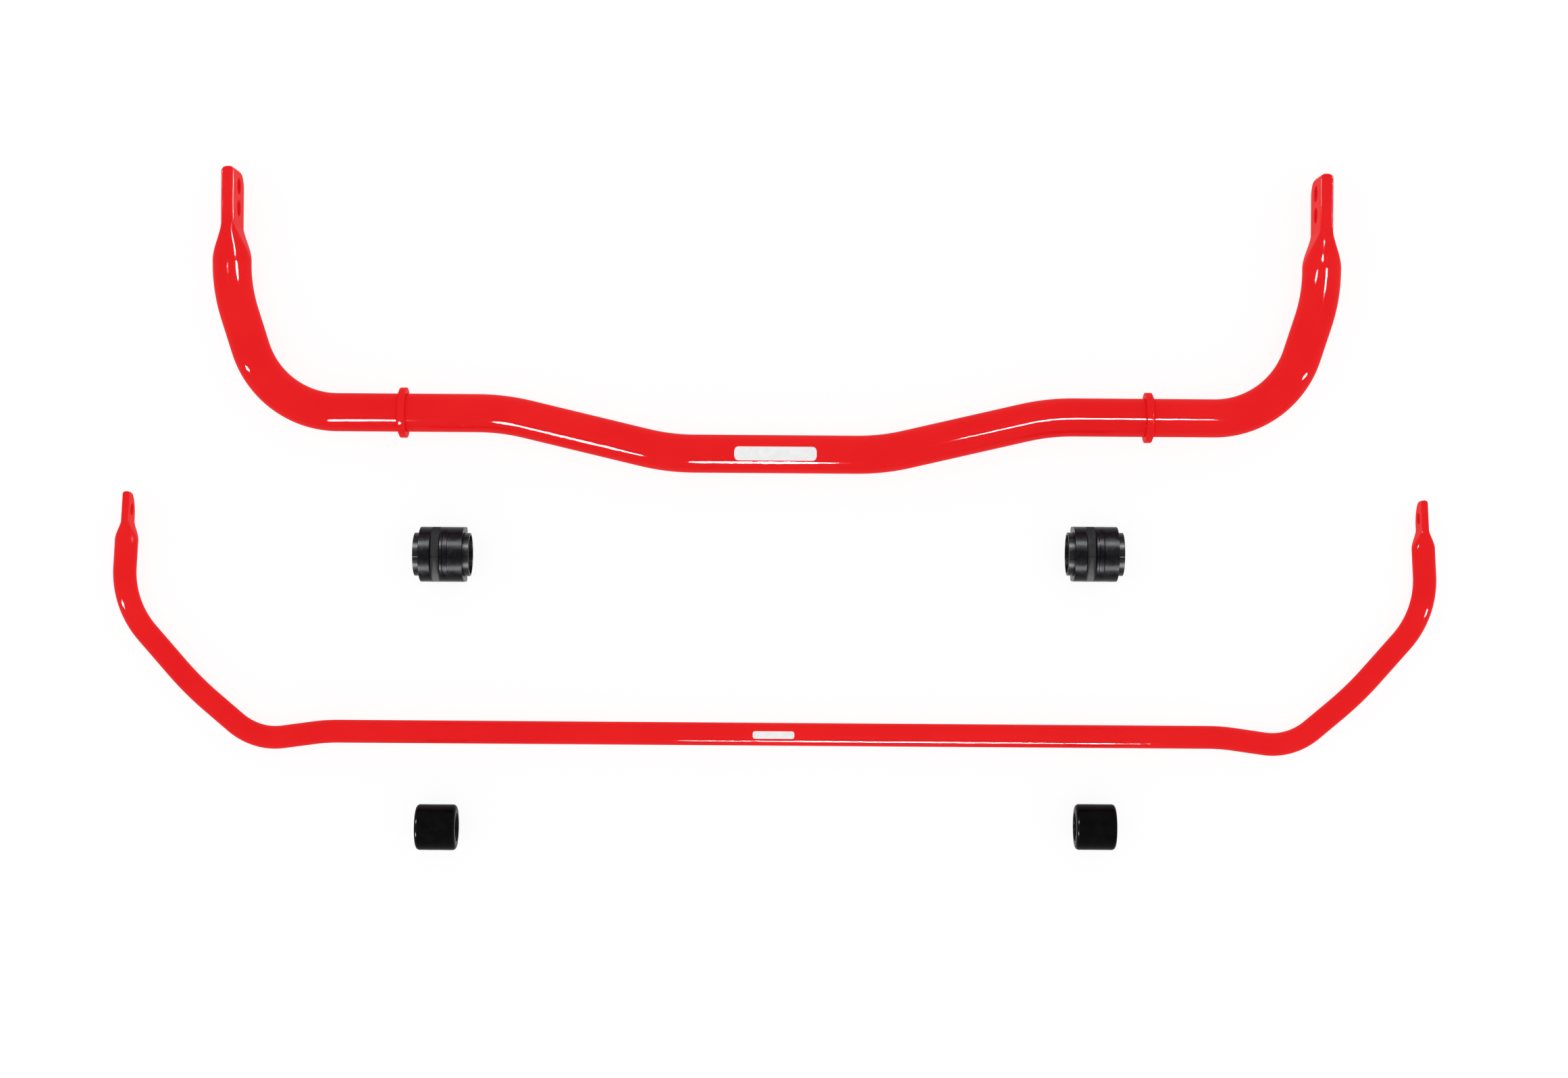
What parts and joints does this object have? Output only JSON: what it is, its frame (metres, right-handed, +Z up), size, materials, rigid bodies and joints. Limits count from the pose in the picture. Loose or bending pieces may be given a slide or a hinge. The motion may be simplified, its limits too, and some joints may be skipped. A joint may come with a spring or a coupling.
{
  "type": "anti-roll bar kit",
  "caption": "Front and rear anti-roll bars for a car, bent and flattened at the ends, laid out with stop rings, split bushes and liners.",
  "frame": {"origin": "middle of the laid-out kit, on the surface that it lies on", "axes": "+X along the bars to the right, +Y the way that the arms point, +Z up from the surface"},
  "size_m": [1.2154, 0.6222, 0.0481],
  "materials": {
    "red_powder_coat": "gloss powder coat",
    "bush_rubber": "moulded, slightly glossy",
    "liner_plastic": "satin"
  },
  "bodies": {
    "front_bar": {"front_bar": "red_powder_coat", "front_collar_left": "red_powder_coat", "front_collar_right": "red_powder_coat"},
    "rear_bar": {"rear_bar": "red_powder_coat"},
    "front_bush_left": {"front_bush_left": "bush_rubber"},
    "front_liner_left": {"front_liner_left": "liner_plastic"},
    "front_bush_right": {"front_bush_right": "bush_rubber"},
    "front_liner_right": {"front_liner_right": "liner_plastic"},
    "rear_bush_left": {"rear_bush_left": "bush_rubber"},
    "rear_liner_left": {"rear_liner_left": "liner_plastic"},
    "rear_bush_right": {"rear_bush_right": "bush_rubber"},
    "rear_liner_right": {"rear_liner_right": "liner_plastic"}
  },
  "joints": [
    {"name": "rear_bar_lift", "type": "slide", "parent": "front_bar", "child": "rear_bar", "axis": [0, 0, 1], "range_m": [0, 0.15]},
    {"name": "front_bush_left_fit", "type": "slide", "parent": "front_bar", "child": "front_bush_left", "axis": [-0.0571, 0.9984, 0], "range_m": [0, 0.12961], "deforming": ["front_bush_left", "front_liner_left"]},
    {"name": "front_liner_left_turn", "type": "hinge", "parent": "front_bush_left", "child": "front_liner_left", "pos_m": [-0.3039, -0.0403, 0.023], "axis": [1, 0, 0], "range_deg": [-25, 25]},
    {"name": "front_bush_right_fit", "type": "slide", "parent": "front_bar", "child": "front_bush_right", "axis": [0.1463, 0.9892, 0], "range_m": [0, 0.12646], "deforming": ["front_bush_right", "front_liner_right"]},
    {"name": "front_liner_right_turn", "type": "hinge", "parent": "front_bush_right", "child": "front_liner_right", "pos_m": [0.2928, -0.036, 0.023], "axis": [1, 0, 0], "range_deg": [-25, 25]},
    {"name": "rear_bush_left_fit", "type": "slide", "parent": "rear_bar", "child": "rear_bush_left", "axis": [0.0777, 0.997, 0], "range_m": [0, 0.08746], "deforming": ["rear_bush_left", "rear_liner_left"]},
    {"name": "rear_liner_left_turn", "type": "hinge", "parent": "rear_bush_left", "child": "rear_liner_left", "pos_m": [-0.3081, -0.2902, 0.0209], "axis": [1, 0, 0], "range_deg": [-25, 25]},
    {"name": "rear_bush_right_fit", "type": "slide", "parent": "rear_bar", "child": "rear_bush_right", "axis": [0.0759, 0.9971, 0], "range_m": [0, 0.08304], "deforming": ["rear_bush_right", "rear_liner_right"]},
    {"name": "rear_liner_right_turn", "type": "hinge", "parent": "rear_bush_right", "child": "rear_liner_right", "pos_m": [0.295, -0.2858, 0.0209], "axis": [1, 0, 0], "range_deg": [-25, 25]}
  ]
}
